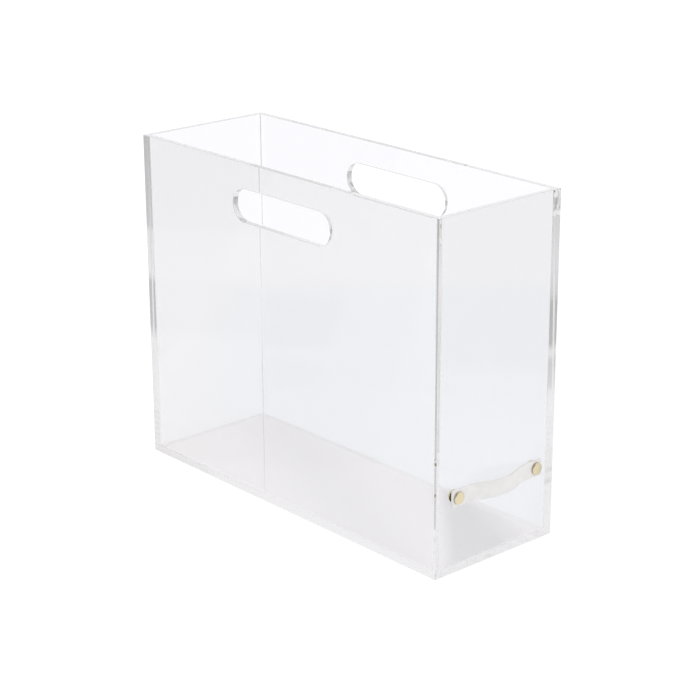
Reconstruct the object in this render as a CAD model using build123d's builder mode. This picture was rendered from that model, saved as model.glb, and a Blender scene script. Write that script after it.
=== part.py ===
from build123d import *

import os
from math import atan, sin

# An open-topped magazine file of clear acrylic sheet.  Four walls stand on a floor plate:
# the two end walls fit between the two long walls, and every joint is cemented.  Each
# long wall has a hand slot.  A leather pull is clamped to one end wall by two brass
# binding posts, each a barrel with a plain head outside and a screw from inside.
# X runs along the box towards the pull, Y from the front wall to the rear wall, Z up.
# The origin is the centre of the underside.  All sizes are in millimetres.

# Box
box_length = 317.5
box_width = 114.3
box_height = 254.0
wall_sheet = 4.8
floor_sheet = 4.8
edge_break = 0.3

# Hand slot in each long wall
slot_length = 105.0
slot_height = 24.5
slot_below_rim = 19.0

# Leather pull on the +X end wall
strap_width = 12.5
strap_thickness = 2.0
strap_bow = 7.0
strap_past_post = 5.5
strap_corner = 1.2
tab_margin = 1.0

# Binding posts
post_spacing = 76.2
post_height = 56.0
head_diameter = 9.0
head_thickness = 1.6
head_round = 0.5
barrel_diameter = 5.0
bore_diameter = 3.0
driver_slot_width = 1.0
driver_slot_depth = 0.7

# Fits
barrel_clearance = 0.1
bore_clearance = 0.05
clamp_gap = 0.3
tip_gap = 0.8

# Worked-out sizes
wall_height = box_height - floor_sheet
end_wall_width = box_width - 2 * wall_sheet
slot_centre = box_height - slot_below_rim - slot_height / 2
pull_face = box_length / 2
hole_radius = barrel_diameter / 2 + barrel_clearance
grip = strap_thickness + wall_sheet
barrel_length = grip - clamp_gap
screw_length = grip - tip_gap

# The strap leaves its flat tab just past the post head, and swings out to the top of its
# bow through two arcs of equal radius and equal angle.
bow_half_span = post_spacing / 2 - head_diameter / 2 - tab_margin
bow_turn = 2 * atan(strap_bow / bow_half_span)
bow_radius = bow_half_span / (2 * sin(bow_turn))

os.makedirs("parts", exist_ok=True)


# Floor plate
with BuildPart() as floor_plate:
    with BuildSketch():
        Rectangle(box_length, box_width)
    extrude(amount=floor_sheet)
    corners = floor_plate.edges().filter_by(Axis.Z)
    underside = floor_plate.edges().group_by(Axis.Z)[0]
    chamfer(corners + underside, edge_break)
floor_plate.part.label = "floor_plate"
export_step(floor_plate.part, "parts/floor_plate.step")


# Long walls, each cut from one sheet with its hand slot
for name, side in (("front_panel", -1), ("rear_panel", 1)):
    with BuildPart() as long_wall:
        with BuildSketch(Plane.XZ.offset(-side * box_width / 2)):
            with Locations((0, floor_sheet + wall_height / 2)):
                Rectangle(box_length, wall_height)
            with Locations((0, slot_centre)):
                SlotOverall(slot_length, slot_height, mode=Mode.SUBTRACT)
        extrude(amount=side * wall_sheet)
        rim = long_wall.edges().group_by(Axis.Z)[-1]
        corners = long_wall.edges().filter_by(Axis.Z).group_by(Axis.Y, reverse=side > 0)[0]
        broad_faces = long_wall.faces().filter_by(Axis.Y)
        slot_rims = [wire for face in broad_faces for wire in face.inner_wires()]
        slot_edges = [edge for wire in slot_rims for edge in wire.edges()]
        chamfer([*rim, *corners, *slot_edges], edge_break)
    long_wall.part.label = name
    export_step(long_wall.part, f"parts/{name}.step")


# End wall at the pull, drilled for the two binding posts
with BuildPart() as pull_end_panel:
    with BuildSketch(Plane.YZ.offset(pull_face)):
        with Locations((0, floor_sheet + wall_height / 2)):
            Rectangle(end_wall_width, wall_height)
        with Locations((-post_spacing / 2, post_height), (post_spacing / 2, post_height)):
            Circle(hole_radius, mode=Mode.SUBTRACT)
    extrude(amount=-wall_sheet)
    chamfer(pull_end_panel.edges().group_by(Axis.Z)[-1].filter_by(Axis.Y), edge_break)
pull_end_panel.part.label = "pull_end_panel"
export_step(pull_end_panel.part, "parts/pull_end_panel.step")


# Plain end wall
with BuildPart() as plain_end_panel:
    with BuildSketch(Plane.YZ.offset(-pull_face)):
        with Locations((0, floor_sheet + wall_height / 2)):
            Rectangle(end_wall_width, wall_height)
    extrude(amount=wall_sheet)
    chamfer(plain_end_panel.edges().group_by(Axis.Z)[-1].filter_by(Axis.Y), edge_break)
plain_end_panel.part.label = "plain_end_panel"
export_step(plain_end_panel.part, "parts/plain_end_panel.step")


# Leather pull: flat tabs under the post heads, bowed outwards between them
tab_x = pull_face + strap_thickness / 2
tab_end = post_spacing / 2 + strap_past_post
with BuildPart() as pull_strap:
    with BuildSketch(Plane.XY.offset(post_height - strap_width / 2)):
        with BuildLine():
            Line((tab_x, -tab_end), (tab_x, -bow_half_span))
            TangentArc(
                (tab_x, -bow_half_span),
                (tab_x + strap_bow / 2, -bow_half_span / 2),
                tangent=(0, 1),
            )
            ThreePointArc(
                (tab_x + strap_bow / 2, -bow_half_span / 2),
                (tab_x + strap_bow, 0),
                (tab_x + strap_bow / 2, bow_half_span / 2),
            )
            TangentArc(
                (tab_x, bow_half_span),
                (tab_x + strap_bow / 2, bow_half_span / 2),
                tangent=(0, -1),
            )
            Line((tab_x, bow_half_span), (tab_x, tab_end))
        trace(line_width=strap_thickness)
    extrude(amount=strap_width)
    fillet(pull_strap.edges().filter_by(Axis.X), strap_corner)
    with BuildSketch(Plane.YZ.offset(pull_face)):
        with Locations((-post_spacing / 2, post_height), (post_spacing / 2, post_height)):
            Circle(hole_radius)
    extrude(amount=strap_thickness, mode=Mode.SUBTRACT)
pull_strap.part.label = "pull_strap"
export_step(pull_strap.part, "parts/pull_strap.step")


for name, post_y in (("front", -post_spacing / 2), ("rear", post_spacing / 2)):
    # Barrel: plain head on the leather, hollow shank through strap and wall
    head_seat = Plane.YZ.offset(pull_face + strap_thickness)
    with BuildPart() as post_barrel:
        with BuildSketch(head_seat):
            with Locations((post_y, post_height)):
                Circle(head_diameter / 2)
        extrude(amount=head_thickness)
        fillet(post_barrel.edges().group_by(Axis.X)[-1], head_round)
        with BuildSketch(head_seat):
            with Locations((post_y, post_height)):
                Circle(barrel_diameter / 2)
                Circle(bore_diameter / 2, mode=Mode.SUBTRACT)
        extrude(amount=-barrel_length)
    post_barrel.part.label = f"{name}_post_barrel"
    export_step(post_barrel.part, f"parts/{name}_post_barrel.step")

    # Screw: slotted head against the inside of the wall, shank up the middle of the barrel
    inner_face = Plane.YZ.offset(pull_face - wall_sheet)
    with BuildPart() as post_screw:
        with BuildSketch(inner_face):
            with Locations((post_y, post_height)):
                Circle(head_diameter / 2)
        extrude(amount=-head_thickness)
        fillet(post_screw.edges().group_by(Axis.X)[0], head_round)
        with BuildSketch(inner_face.offset(-head_thickness)):
            with Locations((post_y, post_height)):
                Rectangle(head_diameter, driver_slot_width)
        extrude(amount=driver_slot_depth, mode=Mode.SUBTRACT)
        with BuildSketch(inner_face):
            with Locations((post_y, post_height)):
                Circle(bore_diameter / 2 - bore_clearance)
        extrude(amount=screw_length)
    post_screw.part.label = f"{name}_post_screw"
    export_step(post_screw.part, f"parts/{name}_post_screw.step")
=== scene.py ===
import math

import bmesh
import bpy
import numpy as np
from mathutils import Matrix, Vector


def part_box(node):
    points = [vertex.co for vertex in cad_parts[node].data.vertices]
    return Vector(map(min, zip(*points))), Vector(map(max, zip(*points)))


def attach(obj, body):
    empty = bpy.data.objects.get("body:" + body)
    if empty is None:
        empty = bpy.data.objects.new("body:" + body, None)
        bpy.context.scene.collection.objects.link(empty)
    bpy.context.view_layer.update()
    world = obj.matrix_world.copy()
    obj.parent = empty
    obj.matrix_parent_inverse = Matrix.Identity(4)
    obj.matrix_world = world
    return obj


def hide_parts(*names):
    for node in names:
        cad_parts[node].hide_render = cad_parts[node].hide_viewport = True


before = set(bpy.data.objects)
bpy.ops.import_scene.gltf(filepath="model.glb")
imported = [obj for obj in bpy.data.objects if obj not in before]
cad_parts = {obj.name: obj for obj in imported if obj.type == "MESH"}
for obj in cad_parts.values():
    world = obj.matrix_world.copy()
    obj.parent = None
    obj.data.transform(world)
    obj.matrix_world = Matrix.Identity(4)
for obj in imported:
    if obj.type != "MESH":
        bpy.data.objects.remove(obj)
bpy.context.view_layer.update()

# =====================================================================================
# Floor plate.  A rectangle of clear cast acrylic sheet, sawn and polished on its edges.
# The four walls stand on it, solvent cemented, so the joint is as clear as the sheet.
# =====================================================================================
plate_low, plate_high = (np.array(c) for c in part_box("floor_plate"))
wall_low, wall_high = (np.array(c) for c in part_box("front_panel"))
sheet_thickness = wall_high[1] - wall_low[1]
inside_x = plate_high[0] - sheet_thickness
inside_y = plate_high[1] - sheet_thickness
edge_break = 0.0003
edge_steps = 3
sharp_edge = math.radians(30)
bead_radius = 0.0006
weld_distance = 1e-7
mostly = 0.5
face_on = 0.9
dead_flat = 0.9999
deeper_tint = (0.914, 0.915, 0.908)
paler_tint = (0.918, 0.919, 0.912)


def noise(tree, source, scale, detail):
    """Soft noise read at source, scale waves to the metre, with detail finer octaves on them."""
    node = tree.nodes.new("ShaderNodeTexNoise")
    node.inputs["Scale"].default_value = scale
    node.inputs["Detail"].default_value = detail
    tree.links.new(source, node.inputs["Vector"])
    return node.outputs["Fac"]


def ramp(tree, source, stops):
    """source read off a colour ramp that runs through the (position, colour) stops."""
    node = tree.nodes.new("ShaderNodeValToRGB")
    points = node.color_ramp.elements
    while len(points) < len(stops):
        points.new(0.5)
    for point, (position, colour) in zip(points, stops):
        point.position = position
        point.color = (*colour, 1) if isinstance(colour, tuple) else (colour, colour, colour, 1)
    tree.links.new(source, node.inputs["Fac"])
    return node.outputs["Color"]


def lift_surface(tree, height, strength, distance):
    """Lifts the surface of tree's shader by height times distance, at the given strength."""
    bump = tree.nodes.new("ShaderNodeBump")
    bump.inputs["Strength"].default_value = strength
    bump.inputs["Distance"].default_value = distance
    tree.links.new(height, bump.inputs["Height"])
    tree.links.new(bump.outputs["Normal"], tree.nodes["Principled BSDF"].inputs["Normal"])


def clear_acrylic(name, roughness, ripple, ripple_depth):
    """Acrylic: a clear body that bends light by 1.49, very faintly tinted by a wide cloud of
    noise.  ripple is how many waves of finer noise go to the metre, and ripple_depth is how far
    they lift the surface: long on the cast faces, short and shallower where a saw has cut."""
    material = bpy.data.materials.new(name)
    material.use_nodes = True
    tree = material.node_tree
    shader = tree.nodes["Principled BSDF"]
    shader.inputs["Transmission Weight"].default_value = 1.0
    shader.inputs["IOR"].default_value = 1.49
    shader.inputs["Roughness"].default_value = roughness
    place = tree.nodes.new("ShaderNodeTexCoord").outputs["Object"]
    cloud = noise(tree, place, scale=9, detail=2)
    tint = ramp(tree, cloud, [(0.3, deeper_tint), (0.7, paler_tint)])
    tree.links.new(tint, shader.inputs["Base Color"])
    lift_surface(tree, noise(tree, place, scale=ripple, detail=2), 1.0, ripple_depth)
    return material


def cemented_face():
    """A face that cement has made one with its neighbour: nothing is left to see."""
    material = bpy.data.materials.new("cemented_joint")
    material.use_nodes = True
    shader = material.node_tree.nodes["Principled BSDF"]
    shader.inputs["Base Color"].default_value = (1, 1, 1, 1)
    shader.inputs["Alpha"].default_value = 0.0
    return material


cast_face = clear_acrylic("clear_acrylic", roughness=0.0, ripple=14, ripple_depth=0.00001)
joint = cemented_face()
cut_face = clear_acrylic("clear_acrylic_cut", roughness=0.04, ripple=700, ripple_depth=0.0000015)


def block_mesh(low, high):
    """The eight corners and six sides of an upright block, as arrays: corner i is high along
    each axis whose bit of i is set, and low along the others."""
    pick = (np.arange(8)[:, None] >> np.arange(3)) & 1
    corners = np.where(pick == 1, high, low)
    sides = np.array([
        [0, 2, 3, 1], [4, 5, 7, 6], [0, 1, 5, 4], [2, 6, 7, 3], [0, 4, 6, 2], [1, 3, 7, 5],
    ])
    return corners, sides


def polished_sheet(name, thin_axis, corners, sides, cuts, is_joint, beads=()):
    """A piece of sheet from its corners and sides.  It is cut along each (axis, place) plane of
    cuts; a side whose centre and direction is_joint accepts is cemented.  Where two open sides
    meet at more than sharp_edge, the edge is rounded by edge_break.  Sides that don't face
    along thin_axis are the saw's.  The meshes in beads are joined on at the end.  Material 0 is
    the cast face, 1 the cemented joint and 2 the saw's cut."""
    mesh = bpy.data.meshes.new(name)
    mesh.from_pydata(corners.tolist(), [], sides.tolist())
    form = bmesh.new()
    form.from_mesh(mesh)
    bmesh.ops.remove_doubles(form, verts=form.verts, dist=weld_distance)
    for axis, place in cuts:
        direction = np.eye(3)[axis]
        everything = [*form.verts, *form.edges, *form.faces]
        bmesh.ops.bisect_plane(
            form, geom=everything, plane_co=direction * place, plane_no=direction, dist=weld_distance
        )
    bmesh.ops.recalc_face_normals(form, faces=form.faces)
    for face in form.faces:
        centre, direction = np.array(face.calc_center_median()), np.array(face.normal)
        face.material_index = int(is_joint(centre, direction))
    open_edges = [
        edge
        for edge in form.edges
        if edge.calc_face_angle(0) > sharp_edge and not any(f.material_index for f in edge.link_faces)
    ]
    bmesh.ops.bevel(
        form, geom=open_edges, offset=edge_break, segments=edge_steps, profile=0.5,
        affect="EDGES", clamp_overlap=True, material=0,
    )
    for face in form.faces:
        face.smooth = max(abs(c) for c in face.normal) < dead_flat
        if face.material_index == 0 and abs(face.normal[thin_axis]) < face_on:
            face.material_index = 2
    for bead in beads:
        form.from_mesh(bead)
        bpy.data.meshes.remove(bead)
    form.to_mesh(mesh)
    form.free()
    for material in (cast_face, joint, cut_face):
        mesh.materials.append(material)
    piece = bpy.data.objects.new(name, mesh)
    bpy.context.scene.collection.objects.link(piece)
    return piece


def under_a_wall(centre, direction):
    """True on the band of the plate's top that the walls stand on."""
    return direction[2] > mostly and (abs(centre[0]) > inside_x or abs(centre[1]) > inside_y)


cuts_across = [(0, side * (inside_x - back)) for side in (-1, 1) for back in (0, bead_radius)]
cuts_along = [(1, side * (inside_y - back)) for side in (-1, 1) for back in (0, bead_radius)]
floor_plate = polished_sheet(
    "floor_plate_sheet", 2, *block_mesh(plate_low, plate_high), cuts_across + cuts_along, under_a_wall
)
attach(floor_plate, "root")
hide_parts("floor_plate")

# =====================================================================================
# Long walls.  Each is one sheet with a hand slot routed through it under the rim; the
# slot's edges are eased and polished.  The end walls are cemented between the two.
# =====================================================================================
slot_length = 0.105
slot_height = 0.0245
slot_below_rim = 0.019
slot_radius = slot_height / 2
slot_straight = slot_length / 2 - slot_radius
slot_middle = wall_high[2] - slot_below_rim - slot_radius
slot_arc_steps = 32
never_zero = 1e-12
hair = 1e-5


def rectangle_reach(angle, left, right, below, above):
    """From a point inside a rectangle, how far its outline is in a direction: the nearer of
    the upright side and the level side that the direction faces."""
    across, up = np.cos(angle), np.sin(angle)
    upright = np.where(across > 0, right, left) / np.maximum(abs(across), never_zero)
    level = np.where(up > 0, above, below) / np.maximum(abs(up), never_zero)
    return np.minimum(upright, level)


def slot_reach(angle, straight, radius):
    """From a slot's middle, how far its outline is in a direction: radius over the sine along
    its straight sides, and the far crossing of the end circle beyond them."""
    across, up = abs(np.cos(angle)), abs(np.sin(angle))
    on_end = straight * across + np.sqrt(np.maximum(radius**2 - (straight * up) ** 2, 0))
    return np.where(radius * across > straight * up, on_end, radius / np.maximum(up, never_zero))


def pierced_rings(hole, sides, straight, radius, arc_steps):
    """Outline and hole of a rectangle with one slot or round hole, as two rings of points that
    pair off by direction from the hole's middle.  sides are its left, right, low and high."""
    turn = np.linspace(-math.pi / 2, math.pi / 2, arc_steps + 1)
    end = np.arctan2(radius * np.sin(turn), straight + radius * np.cos(turn))
    spans = np.array(sides, float) - np.array([hole[0], hole[0], hole[1], hole[1]])
    corner = np.arctan2(spans[[2, 3, 3, 2]], spans[[1, 1, 0, 0]])
    angle = np.unique(np.round(np.concatenate([end, math.pi - end, corner]) % (2 * math.pi), 9))
    direction = np.stack([np.cos(angle), np.sin(angle)], 1)
    outline = hole + direction * rectangle_reach(angle, -spans[0], spans[1], -spans[2], spans[3])[:, None]
    rim = hole + direction * slot_reach(angle, straight, radius)[:, None]
    return outline, rim


def pierced_plate(hole, sides, straight, radius, arc_steps, depths):
    """A closed plate with one hole: outline and hole on the first face, then hole and outline
    on the second, each ring joined to the next and the last to the first."""
    outline, rim = pierced_rings(np.array(hole), sides, straight, radius, arc_steps)
    rings = [(outline, depths[0]), (rim, depths[0]), (rim, depths[1]), (outline, depths[1])]
    points = np.concatenate([np.column_stack([ring, np.full(len(ring), depth)]) for ring, depth in rings])
    steps = len(outline)
    row, column = (g.ravel() for g in np.meshgrid(range(4), range(steps), indexing="ij"))
    next_row, next_column = (row + 1) % 4, (column + 1) % steps
    quads = np.stack(
        [row * steps + column, row * steps + next_column,
         next_row * steps + next_column, next_row * steps + column], 1,
    )
    return points, quads


def against_a_neighbour(centre, direction):
    """True on a long wall's foot, and inside it on the bands that meet the end walls and the
    cement beads."""
    foot = direction[2] < -mostly and centre[2] < wall_low[2] + edge_break
    band = abs(centre[0]) > inside_x - bead_radius
    return foot or (abs(centre[1]) < inside_y + hair and abs(direction[1]) > mostly and band)


for name in ("front_panel", "rear_panel"):
    low, high = (np.array(c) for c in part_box(name))
    points, quads = pierced_plate(
        (0, slot_middle), (low[0], high[0], low[2], high[2]),
        slot_straight, slot_radius, slot_arc_steps, (low[1], high[1]),
    )
    long_wall = polished_sheet(
        f"{name}_sheet", 1, points[:, [0, 2, 1]], quads, cuts_across, against_a_neighbour
    )
    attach(long_wall, "root")
    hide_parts(name)

# =====================================================================================
# End walls.  Both stand on the plate between the long walls, cemented down their sides
# and along their foot.  The one at +X is drilled for the binding posts of the pull.
# =====================================================================================
post_low, post_high = (np.array(c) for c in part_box("front_post_barrel"))
post_spacing = -(post_low[1] + post_high[1])
post_height = (post_low[2] + post_high[2]) / 2
post_hole_radius = 0.0026
hole_arc_steps = 32
bead_below_rim = 0.0006
bead_steps = 8


def between_neighbours(centre, direction):
    """True on an end wall's sides and foot, and inside it under the cement beads."""
    side = abs(direction[1]) > mostly and abs(centre[1]) > inside_y - hair
    foot = direction[2] < -mostly and centre[2] < wall_low[2] + edge_break
    inner = abs(direction[0]) > mostly and abs(centre[0]) < inside_x + hair
    return side or foot or (inner and abs(centre[1]) > inside_y - bead_radius)


def cement_bead(start, end, legs):
    """The thin bead that squeezed cement leaves in an inside corner from start to end: two flat
    legs of bead_radius, bonded to the sheets, joined by a quarter of a hollow circle.  The legs
    are taken in the order that turns the faces outwards."""
    first, second = np.array(legs, float) * bead_radius
    if np.dot(np.cross(first, second), np.subtract(end, start)) < 0:
        first, second = second, first
    turn = np.linspace(0, math.pi / 2, bead_steps + 1)[:, None]
    hollow = first * (1 - np.sin(turn)) + second * (1 - np.cos(turn))
    section = np.concatenate([np.zeros((1, 3)), hollow])
    steps = len(section)
    here = np.arange(steps)
    after = (here + 1) % steps
    quads = np.stack([here, after, after + steps, here + steps], 1)
    caps = [here[::-1].tolist(), (here + steps).tolist()]
    bonded = (here == 0) | (here == steps - 1)
    mesh = bpy.data.meshes.new("cement_bead")
    mesh.from_pydata(np.concatenate([section + start, section + end]).tolist(), [], caps + quads.tolist())
    mesh.polygons.foreach_set("material_index", np.concatenate([[0, 0], bonded]).astype(np.int32))
    mesh.polygons.foreach_set("use_smooth", np.concatenate([[False, False], ~bonded]))
    return mesh


def upright_beads(x):
    """The two beads of cement beside an end wall whose inner face is at x."""
    top = wall_high[2] - bead_below_rim
    return [
        cement_bead((x, y, wall_low[2]), (x, y, top), ((-np.sign(x), 0, 0), (0, -np.sign(y), 0)))
        for y in (-inside_y, inside_y)
    ]


plain_end = polished_sheet(
    "plain_end_panel_sheet", 0, *block_mesh(*(np.array(c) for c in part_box("plain_end_panel"))),
    cuts_along, between_neighbours, upright_beads(-inside_x),
)
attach(plain_end, "root")
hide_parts("plain_end_panel")

low, high = (np.array(c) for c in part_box("pull_end_panel"))
# The drilled wall is worked out as two halves, each with one hole, that meet in the middle.
halves = [
    pierced_plate(
        (side * post_spacing / 2, post_height), (*sorted((0, side * high[1])), low[2], high[2]),
        0, post_hole_radius, hole_arc_steps, (low[0], high[0]),
    )
    for side in (-1, 1)
]
points = np.concatenate([half[0] for half in halves])[:, [2, 0, 1]]
quads = np.concatenate([halves[0][1], halves[1][1] + len(halves[0][0])])
in_the_middle = (abs(points[quads][:, :, 1]) < 1e-6).all(1)
pull_end = polished_sheet(
    "pull_end_panel_sheet", 0, points, quads[~in_the_middle],
    cuts_along, between_neighbours, upright_beads(inside_x),
)
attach(pull_end, "root")
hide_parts("pull_end_panel")

# =====================================================================================
# Leather pull.  A strap of smooth white leather with rounded edges, clamped
# flat under the post heads and springing outwards between them.
# =====================================================================================
strap_low, strap_high = (np.array(c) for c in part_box("pull_strap"))
strap_thickness = 0.002
strap_bow = strap_high[0] - strap_low[0] - strap_thickness
strap_width = strap_high[2] - strap_low[2]
strap_end = strap_high[1]
head_radius = 0.0045
tab_margin = 0.001
strap_corner = 0.0012
strap_edge = 0.0007
strap_steps = 241
strap_around = 48
leather_shaded = (0.715, 0.70, 0.677)
leather_light = (0.775, 0.76, 0.74)
leather_roughness = (0.42, 0.62)
# Each side of the bow is two equal arcs of bow_radius, one bending out and one back, that turn
# by bow_turn.  Together they run bow_half_span along the wall and strap_bow away from it.
bow_half_span = post_spacing / 2 - head_radius - tab_margin
bow_turn = 2 * math.atan(strap_bow / bow_half_span)
bow_radius = bow_half_span / (2 * math.sin(bow_turn))


def strap_line(distance):
    """The strap's middle line by distance from the top of its bow: an arc down, an equal arc
    back up, then the flat tab.  Returns how far it stands out, its place along Y and its slope."""
    along, side = abs(distance), np.sign(distance)
    arc = bow_radius * bow_turn
    slope = np.where(along < arc, along, np.maximum(2 * arc - along, 0)) / bow_radius
    rise = bow_radius * (1 - np.cos(slope))
    reach = bow_radius * np.sin(slope)
    out = np.where(along < arc, strap_bow - rise, rise)
    on_tab = bow_half_span + along - 2 * arc
    place = np.where(along < arc, reach, np.where(along < 2 * arc, bow_half_span - reach, on_tab))
    return out, side * place, side * slope


def strap_mesh(steps, around):
    """A rounded section carried along the strap line, in rows that crowd towards its ends.  In
    the section, the eighth power of the part of the half width and the fourth power of the part
    of the half thickness add up to one.  Towards each end the half width follows the corner's
    circle, and the half thickness the edge's."""
    half_length = 2 * bow_radius * bow_turn + strap_end - bow_half_span
    distance = half_length * np.sin(np.linspace(-math.pi / 2, math.pi / 2, steps))
    out, place, slope = strap_line(distance)
    left = half_length - abs(distance)
    past_corner = np.clip(1 - left / strap_corner, 0, 1)
    past_edge = np.clip(1 - left / strap_edge, 0, 1)
    half_width = strap_width / 2 - strap_corner * (1 - np.sqrt(1 - past_corner**2))
    half_thick = strap_thickness / 2 * np.sqrt(1 - past_edge**2)
    turn = np.linspace(0, 2 * math.pi, around, endpoint=False)
    across = np.sign(np.cos(turn)) * abs(np.cos(turn)) ** (1 / 4)
    through = np.sign(np.sin(turn)) * abs(np.sin(turn)) ** (1 / 2)
    offset = half_thick[:, None] * through
    x = strap_low[0] + strap_thickness / 2 + out[:, None] + offset * np.cos(slope)[:, None]
    y = place[:, None] + offset * np.sin(slope)[:, None]
    z = (strap_low[2] + strap_high[2]) / 2 + half_width[:, None] * across
    return np.stack([x, y, z], 2)


def tube_object(name, rings, material):
    """A grid of rings as a closed skin: neighbours are joined by quads, and the end rings are
    filled."""
    rows, around = rings.shape[:2]
    row, column = (g.ravel() for g in np.meshgrid(range(rows - 1), range(around), indexing="ij"))
    next_column = (column + 1) % around
    quads = np.stack([row * around + column, row * around + next_column,
                      (row + 1) * around + next_column, (row + 1) * around + column], 1)
    mesh = bpy.data.meshes.new(name)
    mesh.from_pydata(rings.reshape(-1, 3).tolist(), [], quads.tolist())
    form = bmesh.new()
    form.from_mesh(mesh)
    bmesh.ops.remove_doubles(form, verts=form.verts, dist=weld_distance)
    bmesh.ops.holes_fill(form, edges=form.edges, sides=0)
    bmesh.ops.recalc_face_normals(form, faces=form.faces)
    for face in form.faces:
        face.smooth = True
    form.to_mesh(mesh)
    form.free()
    mesh.materials.append(material)
    piece = bpy.data.objects.new(name, mesh)
    bpy.context.scene.collection.objects.link(piece)
    return piece


def scaled(tree, source, low, high, to_low, to_high):
    """source carried from the range low..high to to_low..to_high, and held at its ends."""
    node = tree.nodes.new("ShaderNodeMapRange")
    for name, value in (("From Min", low), ("From Max", high), ("To Min", to_low), ("To Max", to_high)):
        node.inputs[name].default_value = value
    tree.links.new(source, node.inputs["Value"])
    return node.outputs["Result"]


def white_leather():
    """Smooth finished leather: off-white, mottled by soft noise that varies its polish too, with
    a fine pebbled grain, which is the distance from the nearest border of a pattern of cells."""
    material = bpy.data.materials.new("white_leather")
    material.use_nodes = True
    tree = material.node_tree
    shader = tree.nodes["Principled BSDF"]
    shader.inputs["Sheen Weight"].default_value = 0.1
    place = tree.nodes.new("ShaderNodeTexCoord").outputs["Object"]
    cloud = noise(tree, place, scale=160, detail=6)
    tone = ramp(tree, cloud, [(0.3, leather_shaded), (0.7, leather_light)])
    tree.links.new(tone, shader.inputs["Base Color"])
    tree.links.new(scaled(tree, cloud, 0, 1, *leather_roughness), shader.inputs["Roughness"])
    grain = tree.nodes.new("ShaderNodeTexVoronoi")
    grain.feature = "DISTANCE_TO_EDGE"
    grain.inputs["Scale"].default_value = 2200
    tree.links.new(place, grain.inputs["Vector"])
    lift_surface(tree, grain.outputs["Distance"], strength=0.35, distance=0.00008)
    return material


leather = white_leather()
pull = tube_object("leather_pull", strap_mesh(strap_steps, strap_around), leather)
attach(pull, "root")
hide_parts("pull_strap")

# =====================================================================================
# Binding posts.  Each is a turned brass barrel with a plain polished head outside, and a
# slotted brass screw that runs up its bore from inside the box and clamps the strap.
# =====================================================================================
head_thickness = 0.0016
head_round = 0.0005
head_crown = 0.00012
barrel_radius = 0.0025
bore_radius = 0.0015
crown_steps = 11
round_steps = 7
barrel_around = 96
brass_colour = (0.85, 0.755, 0.535)
brass_roughness = (0.14, 0.28)


def vector_worked(tree, operation, source, operand=(0, 0, 0)):
    """source after the named vector operation, with operand where it takes a second vector."""
    node = tree.nodes.new("ShaderNodeVectorMath")
    node.operation = operation
    node.inputs[1].default_value = operand
    tree.links.new(source, node.inputs[0])
    return node.outputs["Value" if operation in ("LENGTH", "DOT_PRODUCT") else "Vector"]


def polished_brass():
    """Brass: pale gold metal with a polish that varies in soft clouds, and fine
    turning marks, which are noise read off the distance from the nearest post's axis."""
    material = bpy.data.materials.new("polished_brass")
    material.use_nodes = True
    tree = material.node_tree
    shader = tree.nodes["Principled BSDF"]
    shader.inputs["Metallic"].default_value = 1.0
    shader.inputs["Base Color"].default_value = (*brass_colour, 1)
    place = tree.nodes.new("ShaderNodeTexCoord").outputs["Object"]
    cloud = noise(tree, place, scale=900, detail=5)
    tree.links.new(scaled(tree, cloud, 0, 1, *brass_roughness), shader.inputs["Roughness"])
    on_one_side = vector_worked(tree, "ABSOLUTE", place)
    from_post = vector_worked(tree, "SUBTRACT", on_one_side, (0, post_spacing / 2, post_height))
    along_wall = vector_worked(tree, "MULTIPLY", from_post, (0, 1, 1))
    marks = tree.nodes.new("ShaderNodeTexNoise")
    marks.noise_dimensions = "1D"
    marks.inputs["Scale"].default_value = 7000
    marks.inputs["Detail"].default_value = 3
    tree.links.new(vector_worked(tree, "LENGTH", along_wall), marks.inputs["W"])
    lift_surface(tree, marks.outputs["Fac"], strength=0.6, distance=0.000008)
    return material


def barrel_profile():
    """Half outline of a barrel as (distance out from the wall's outer face, radius): crowned
    head, rounded rim, straight shank, then back up the bore."""
    seat = strap_thickness
    top = seat + head_thickness
    across = np.linspace(0, head_radius - head_round, crown_steps + 1)
    crown = top - head_crown * (across / head_radius) ** 2
    turn = np.linspace(0, math.pi / 2, round_steps + 1)[1:]
    rim_x = crown[-1] - head_round * (1 - np.cos(turn))
    rim_r = head_radius - head_round + head_round * np.sin(turn)
    shank_end = post_low[0] - plate_high[0]
    shank_x = [seat, seat, shank_end, shank_end, seat, seat]
    shank_r = [head_radius, barrel_radius, barrel_radius, bore_radius, bore_radius, 0]
    return np.concatenate([crown, rim_x, shank_x]), np.concatenate([across, rim_r, shank_r])


brass = polished_brass()
x, r = barrel_profile()
turn = np.linspace(0, 2 * math.pi, barrel_around, endpoint=False)
for name, side in (("front", -1), ("rear", 1)):
    rings = np.stack(
        [np.broadcast_to(plate_high[0] + x[:, None], (len(x), len(turn))),
         side * post_spacing / 2 + r[:, None] * np.cos(turn),
         post_height + r[:, None] * np.sin(turn)], 2,
    )
    barrel = tube_object(f"{name}_post_barrel_turned", rings, brass)
    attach(barrel, "root")
    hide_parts(f"{name}_post_barrel")
    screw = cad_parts[f"{name}_post_screw"]
    screw.data.materials.clear()
    screw.data.materials.append(brass)

# =====================================================================================
# Studio.  A wide pale floor under a soft white dome, and a long lens that looks down on
# the pull end and the front long wall.
# =====================================================================================
azimuth = math.radians(48.22)
elevation = math.radians(19.37)
floor_size = 14.0
floor_below = 0.0004
floor_colour = (0.15, 0.23, 0.24)
no_tint = (1, 1, 1)
bpy.ops.mesh.primitive_plane_add(
    size=floor_size, location=(0, 0, -floor_below), rotation=(0, 0, azimuth)
)
studio_floor = bpy.context.object
studio_floor.name = "studio_floor"


def worked(tree, operation, first, second):
    """The named sum of two values, such as the lesser or the greater of them."""
    node = tree.nodes.new("ShaderNodeMath")
    node.operation = operation
    tree.links.new(first, node.inputs[0])
    tree.links.new(second, node.inputs[1])
    return node.outputs[0]


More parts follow.
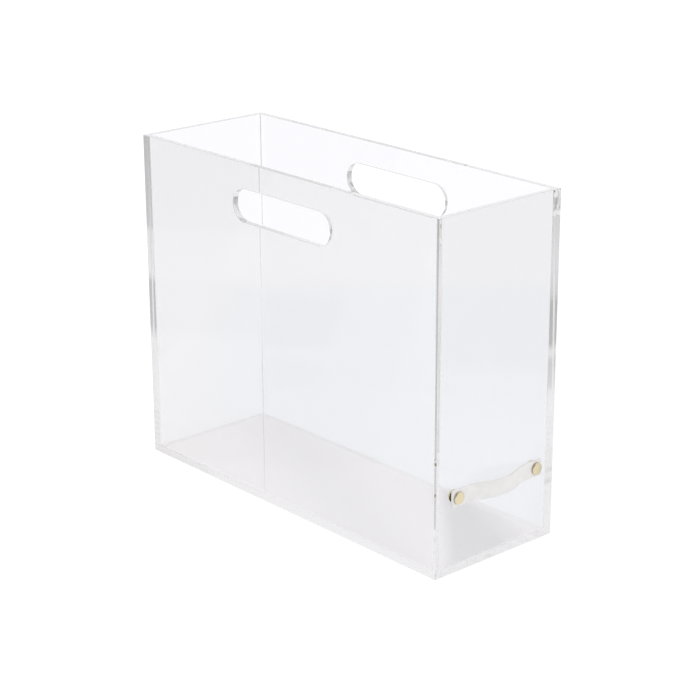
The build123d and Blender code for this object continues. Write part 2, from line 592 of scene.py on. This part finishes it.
def blended(tree, kind, factor, first, second):
    """first and second mixed as colours in the named way, by factor."""
    node = tree.nodes.new("ShaderNodeMix")
    node.data_type = "RGBA"
    node.blend_type = kind
    if isinstance(factor, float):
        node.inputs["Factor"].default_value = factor
    else:
        tree.links.new(factor, node.inputs["Factor"])
    tree.links.new(first, node.inputs[6])
    tree.links.new(second, node.inputs[7])
    return node.outputs[2]


def shade_along(tree, source, low, high, tint, stops):
    """Shade by place along a line from low to high: the (place, brightness) stops read off a
    ramp, with each brightness times tint."""
    tinted = [((at - low) / (high - low), tuple(light * part for part in tint)) for at, light in stops]
    return ramp(tree, scaled(tree, source, low, high, 0, 1), tinted)


def mirrored_ray(tree):
    """One for a ray that has been mirrored on its way from the lens, nought for any other."""
    path = tree.nodes.new("ShaderNodeLightPath")
    return scaled(tree, path.outputs["Glossy Depth"], 0, 1, 0, 1)


floor_paint = bpy.data.materials.new("floor_paint")
floor_paint.use_nodes = True
paint = floor_paint.node_tree
paint.nodes.clear()
on_floor = paint.nodes.new("ShaderNodeTexCoord").outputs["Object"]
split = paint.nodes.new("ShaderNodeSeparateXYZ")
paint.links.new(on_floor, split.inputs[0])
rightwards, away = split.outputs["X"], split.outputs["Y"]

# The floor's painted glow: one tone near the lens and to the right, a brighter one far off and to the
# left.
near_tone = (0.904, 0.834, 0.882)
far_tone = (0.950, 0.853, 0.891)
far_fade = (0.483, 0.533)
left_fade = (-0.14, -0.08)
far_off = scaled(paint, away, *far_fade, 0, 1)
to_the_left = scaled(paint, rightwards, *left_fade, 1, 0)
painted_glow_tone = ramp(paint, worked(paint, "MAXIMUM", far_off, to_the_left), [(0, near_tone), (1, far_tone)])

# The shade under the box: soft bands on a slant over its footprint, and a deeper one by the pull.
length_fade = (0.148, 0.157)
width_fade = (0.046, 0.055)
pull_fade = (0.066, 0.078)
slant_share = 0.3
slant_reach = 0.16
rosy_tint = (1.015, 0.985, 0.985)
onto_box = paint.nodes.new("ShaderNodeMapping")
onto_box.inputs["Rotation"].default_value = (0, 0, azimuth)
paint.links.new(on_floor, onto_box.inputs["Vector"])
footprint = paint.nodes.new("ShaderNodeSeparateXYZ")
paint.links.new(vector_worked(paint, "ABSOLUTE", onto_box.outputs["Vector"]), footprint.inputs[0])
within_length = scaled(paint, footprint.outputs["X"], *length_fade, 1, 0)
within_width = scaled(paint, footprint.outputs["Y"], *width_fade, 1, 0)
covered = worked(paint, "MINIMUM", within_length, within_width)
by_pull = worked(paint, "MINIMUM", covered, scaled(paint, rightwards, *pull_fade, 0, 1))
slant = paint.nodes.new("ShaderNodeMath")
slant.operation = "MULTIPLY_ADD"
slant.inputs[1].default_value = slant_share
paint.links.new(away, slant.inputs[0])
paint.links.new(rightwards, slant.inputs[2])
shaded = painted_glow_tone
for covers, tint, stops in (
    (covered, rosy_tint, [
        (-0.10, 1.02), (-0.06, 1.01), (-0.035, 0.965), (-0.01, 0.92), (0.01, 0.94), (0.03, 0.99),
        (0.044, 1.0)]),
    (by_pull, no_tint, [
        (0.078, 0.75), (0.087, 0.817), (0.094, 0.85), (0.10, 0.914), (0.109, 0.985), (0.118, 1)]),
):
    shade = shade_along(paint, slant.outputs[0], -slant_reach, slant_reach, tint, stops)
    shaded = blended(paint, "MULTIPLY", covers, shaded, shade)

# Painted reflections: what a mirrored ray sees of the floor is painted pools of light and shade,
# and two zones that stay light.
pool_reach = 1
pool_tint = (1, 0.987, 1.008)
across_pools = shade_along(paint, rightwards, -pool_reach, pool_reach, no_tint, [
    (-0.9, 0.60), (-0.5, 0.80), (-0.40, 0.70), (-0.37, 0.50), (-0.25, 0.52), (-0.232, 0.86),
    (-0.215, 0.86), (-0.205, 0.68), (-0.145, 0.72), (-0.125, 0.92), (-0.07, 0.95), (0.12, 0.95),
    (0.16, 0.56), (0.29, 0.56), (0.32, 0.88), (0.47, 0.86), (0.50, 0.62), (0.9, 0.55),
])
away_pools = shade_along(paint, away, -pool_reach, pool_reach, pool_tint, [
    (-0.9, 0.8), (-0.1, 1.0), (0.5, 1.0), (0.6, 0.92), (0.7, 0.82), (0.9, 0.78),
])
pools = blended(paint, "MULTIPLY", 1.0, across_pools, away_pools)
for away_fade, rightwards_fade, light in (
    ((-0.1, -0.03), (0.36, 0.42), 0.92),
    ((0.115, 0.145), (-0.12, -0.06), 0.8),
):
    light_zone = worked(
        paint, "MINIMUM",
        scaled(paint, away, *away_fade, light, 0), scaled(paint, rightwards, *rightwards_fade, light, 0),
    )
    pools = blended(paint, "LIGHTEN", 1.0, pools, light_zone)

matt = paint.nodes.new("ShaderNodeBsdfDiffuse")
matt.inputs["Color"].default_value = (*floor_colour, 1)
glow = paint.nodes.new("ShaderNodeEmission")
paint.links.new(shaded, glow.inputs["Color"])
seen_directly = paint.nodes.new("ShaderNodeAddShader")
paint.links.new(matt.outputs[0], seen_directly.inputs[0])
paint.links.new(glow.outputs[0], seen_directly.inputs[1])
seen_mirrored = paint.nodes.new("ShaderNodeEmission")
paint.links.new(pools, seen_mirrored.inputs["Color"])
either_way = paint.nodes.new("ShaderNodeMixShader")
paint.links.new(mirrored_ray(paint), either_way.inputs[0])
paint.links.new(seen_directly.outputs[0], either_way.inputs[1])
paint.links.new(seen_mirrored.outputs[0], either_way.inputs[2])
output = paint.nodes.new("ShaderNodeOutputMaterial")
paint.links.new(either_way.outputs[0], output.inputs["Surface"])
studio_floor.data.materials.append(floor_paint)

# The dome: a wide soft light from behind the box.  Mirrored rays see it darker behind the lens.
toward_light = (0.458, 0.663, 0.6)
toward_lens = (math.sin(azimuth), -math.cos(azimuth), 0)
over_lens = (0.40, -0.48, 0.78)
dome = bpy.data.worlds.new("soft_dome")
dome.use_nodes = True
sky = dome.node_tree


def dome_shade(tree, toward, stops):
    """The dome's brightness by how far a direction leans toward another: their dot product,
    read off a ramp from dead against to dead along."""
    direction = tree.nodes.new("ShaderNodeTexCoord").outputs["Generated"]
    leaning = vector_worked(tree, "DOT_PRODUCT", direction, toward)
    return ramp(tree, scaled(tree, leaning, -1, 1, 0, 1), stops)


direct = dome_shade(sky, toward_light, [(0, 1.0), (0.5, 1.0), (0.8, 1.05), (0.95, 1.3), (1, 1.4)])
behind_lens = dome_shade(
    sky, toward_lens, [(0, (0.95, 0.94, 0.96)), (0.58, (0.92, 0.91, 0.93)), (0.8, 0.55), (1, 0.5)]
)
above_lens = dome_shade(sky, over_lens, [(0, 1), (0.9, 1), (0.96, 0.3), (1, 0.2)])
reflected = blended(sky, "MULTIPLY", 1.0, behind_lens, above_lens)
either_dome = blended(sky, "MIX", mirrored_ray(sky), direct, reflected)
sky.links.new(either_dome, sky.nodes["Background"].inputs["Color"])

# Light may cross the clear sheets many times, and isn't blurred on the way.
light_bounces = 400
scene = bpy.context.scene
scene.world = dome
scene.view_settings.view_transform = "Standard"
scene.cycles.max_bounces = light_bounces
scene.cycles.glossy_bounces = light_bounces
scene.cycles.transmission_bounces = light_bounces
scene.cycles.transparent_max_bounces = light_bounces
scene.cycles.blur_glossy = 0

roll = math.radians(-0.2)
camera_distance = 1.441
look_at = np.array([0.0231, -0.0128, 0.12])
camera_data = bpy.data.cameras.new("camera")
camera_data.lens = 102.9
camera_data.sensor_width = 36.0
camera = bpy.data.objects.new("camera", camera_data)
scene.collection.objects.link(camera)
to_lens = np.array([
    math.sin(azimuth) * math.cos(elevation), -math.cos(azimuth) * math.cos(elevation), math.sin(elevation)
])
camera.location = look_at + camera_distance * to_lens
turned = Matrix.Rotation(azimuth, 3, "Z") @ Matrix.Rotation(math.pi / 2 - elevation, 3, "X")
camera.rotation_euler = (turned @ Matrix.Rotation(roll, 3, "Z")).to_euler()
scene.camera = camera
